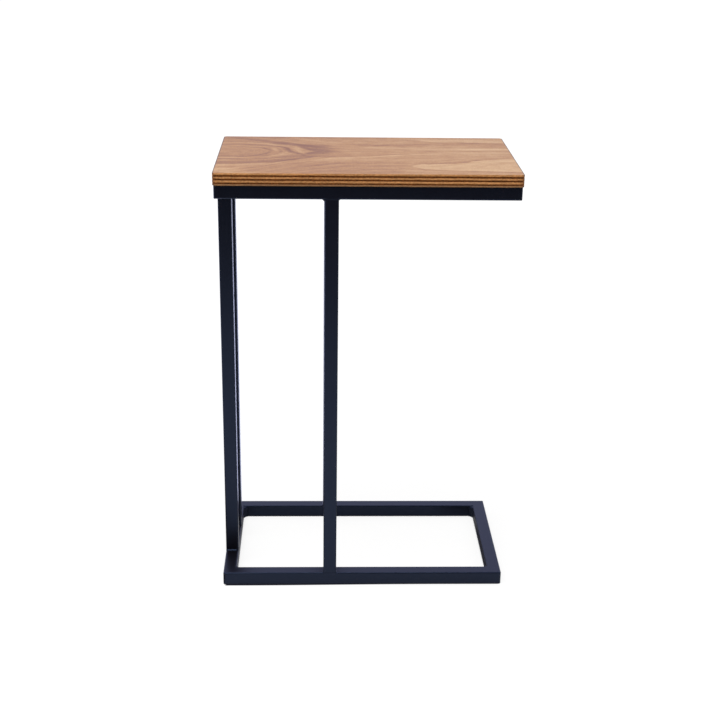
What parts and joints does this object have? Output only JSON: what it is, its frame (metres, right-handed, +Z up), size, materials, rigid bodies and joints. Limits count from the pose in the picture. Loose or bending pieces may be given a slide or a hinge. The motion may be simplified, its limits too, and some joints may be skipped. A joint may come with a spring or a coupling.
{
  "type": "c shaped side table",
  "caption": "C-shaped side table: a rectangular plywood board on a welded square-tube frame with uprights near one side and a flat rectangular base.",
  "frame": {"origin": "on the floor, at the middle of the table's rectangular plan", "axes": "+Z up; +X towards the open side of the C; +Y towards the back long side; the front long side faces -Y"},
  "size_m": [0.434, 0.258, 0.65],
  "materials": {
    "frame_paint": "satin blue-black powder coat",
    "veneer": "satin lacquer over tan stain, grain along the width",
    "long_ply": "sanded and lacquered ply edge, grain along the width",
    "cross_ply": "sanded and lacquered ply edge, grain along the depth",
    "zinc_steel": "zinc-plated wood screws"
  },
  "bodies": {
    "root": {"base_front_rail": "frame_paint", "base_back_rail": "frame_paint", "base_left_rail": "frame_paint", "base_right_rail": "frame_paint", "top_front_rail": "frame_paint", "top_back_rail": "frame_paint", "top_left_rail": "frame_paint", "top_right_rail": "frame_paint", "front_upright": "frame_paint", "back_upright": "frame_paint", "left_front_upright": "frame_paint", "left_back_upright": "frame_paint", "base_corner_welds": "frame_paint", "top_corner_welds": "frame_paint", "upright_foot_welds": "frame_paint", "upright_head_welds": "frame_paint", "board_screws": "zinc_steel", "back_veneer": "veneer", "lower_cross_ply": "cross_ply", "lower_long_ply": "long_ply", "core_cross_ply": "cross_ply", "upper_long_ply": "long_ply", "upper_cross_ply": "cross_ply", "face_veneer": "veneer"}
  },
  "joints": []
}
